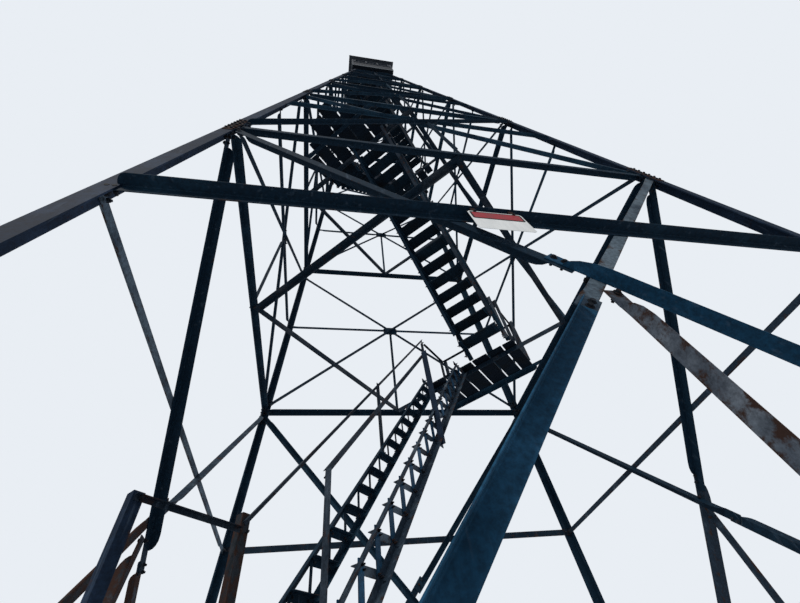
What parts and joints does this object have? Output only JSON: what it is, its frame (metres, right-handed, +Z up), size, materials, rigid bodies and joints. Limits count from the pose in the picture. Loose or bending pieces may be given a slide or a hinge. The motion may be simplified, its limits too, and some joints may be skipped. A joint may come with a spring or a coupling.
{
  "type": "fire lookout tower",
  "caption": "Steel fire lookout tower: four leaning angle legs with crossed bracing, a zigzag inner stair with plank landings and a small closed cab on top.",
  "frame": {"origin": "middle of the tower's base at ground level, on the tower's upright axis", "axes": "+Z up; the face nearest the viewer looks toward -Y; the sign hangs on that face"},
  "size_m": [5.72, 5.72, 22.9496],
  "materials": {
    "leg_steel": "weathered galvanised, rust at the edges",
    "girt_steel": "weathered galvanised",
    "brace_steel": "weathered galvanised",
    "stair_steel": "weathered galvanised with brown rust",
    "plank_wood": "bare weathered planks",
    "cab_panel": "dull dark paint",
    "cab_boards": "bare weathered boards",
    "roof_metal": "dull dark sheet",
    "window_glass": "plain"
  },
  "bodies": {
    "root": {"leg_near_right": "leg_steel", "leg_far_right": "leg_steel", "leg_far_left": "leg_steel", "leg_near_left": "leg_steel", "foot_plates": "leg_steel", "girts_near": "girt_steel", "bracing_near": "brace_steel", "cab_wall_near": "cab_panel", "girts_right": "girt_steel", "bracing_right": "brace_steel", "cab_wall_right": "cab_panel", "girts_far": "girt_steel", "bracing_far": "brace_steel", "cab_wall_far": "cab_panel", "girts_left": "girt_steel", "bracing_left": "brace_steel", "cab_wall_left": "cab_panel", "plan_bracing": "girt_steel", "landing_0": "plank_wood", "landing_1": "plank_wood", "landing_2": "plank_wood", "landing_3": "plank_wood", "landing_4": "plank_wood", "landing_5": "plank_wood", "stringers_0": "stair_steel", "stringers_1": "stair_steel", "stringers_2": "stair_steel", "stringers_3": "stair_steel", "stringers_4": "stair_steel", "stringers_5": "stair_steel", "stringers_6": "stair_steel", "treads_2": "plank_wood", "treads_3": "plank_wood", "treads_4": "plank_wood", "treads_5": "plank_wood", "treads_6": "plank_wood", "handrails_low": "stair_steel", "handrails_high": "stair_steel", "landing_guards": "stair_steel", "cab_joists": "plank_wood", "cab_floor": "cab_boards", "cab_hatch": "cab_boards", "cab_glass": "window_glass", "cab_roof": "roof_metal"}
  },
  "joints": []
}
